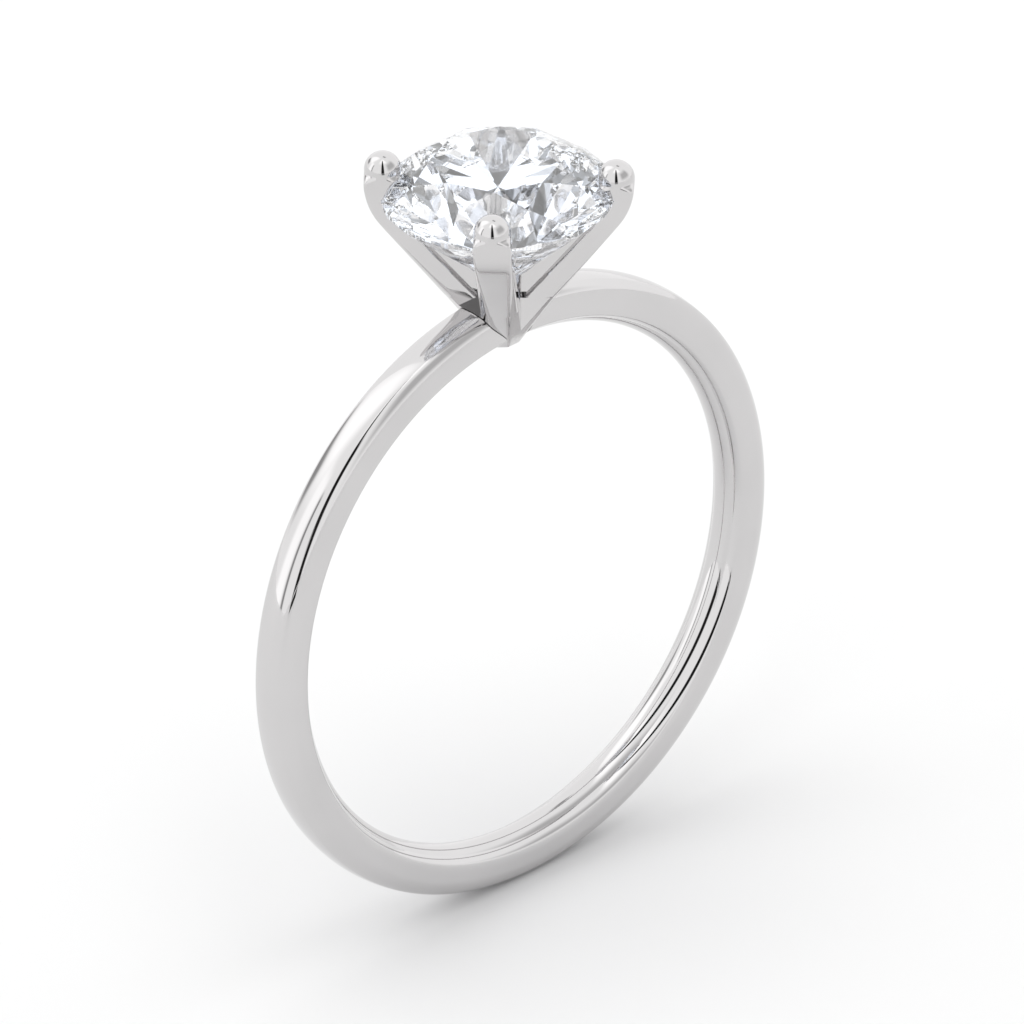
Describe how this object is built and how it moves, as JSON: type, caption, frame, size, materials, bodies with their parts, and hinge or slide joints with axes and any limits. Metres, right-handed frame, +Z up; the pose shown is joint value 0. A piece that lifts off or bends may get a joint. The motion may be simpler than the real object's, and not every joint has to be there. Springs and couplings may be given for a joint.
{
  "type": "engagement ring",
  "caption": "Solitaire finger ring: a slim polished band with a claw head that holds a round brilliant-cut stone above the finger.",
  "frame": {"origin": "centre of the finger hole, in the middle of the band's width", "axes": "+Z up through the stone, +Y along the finger, X across the shoulders"},
  "size_m": [0.02, 0.007, 0.0249],
  "materials": {
    "shank_metal": "mirror-polished white gold",
    "head_metal": "mirror-polished white gold",
    "diamond": "polished facets, near colourless"
  },
  "bodies": {
    "root": {"shank": "shank_metal", "head_base": "head_metal", "claw_front_left": "head_metal", "claw_back_left": "head_metal", "claw_front_right": "head_metal", "claw_back_right": "head_metal", "diamond": "diamond"}
  },
  "joints": []
}
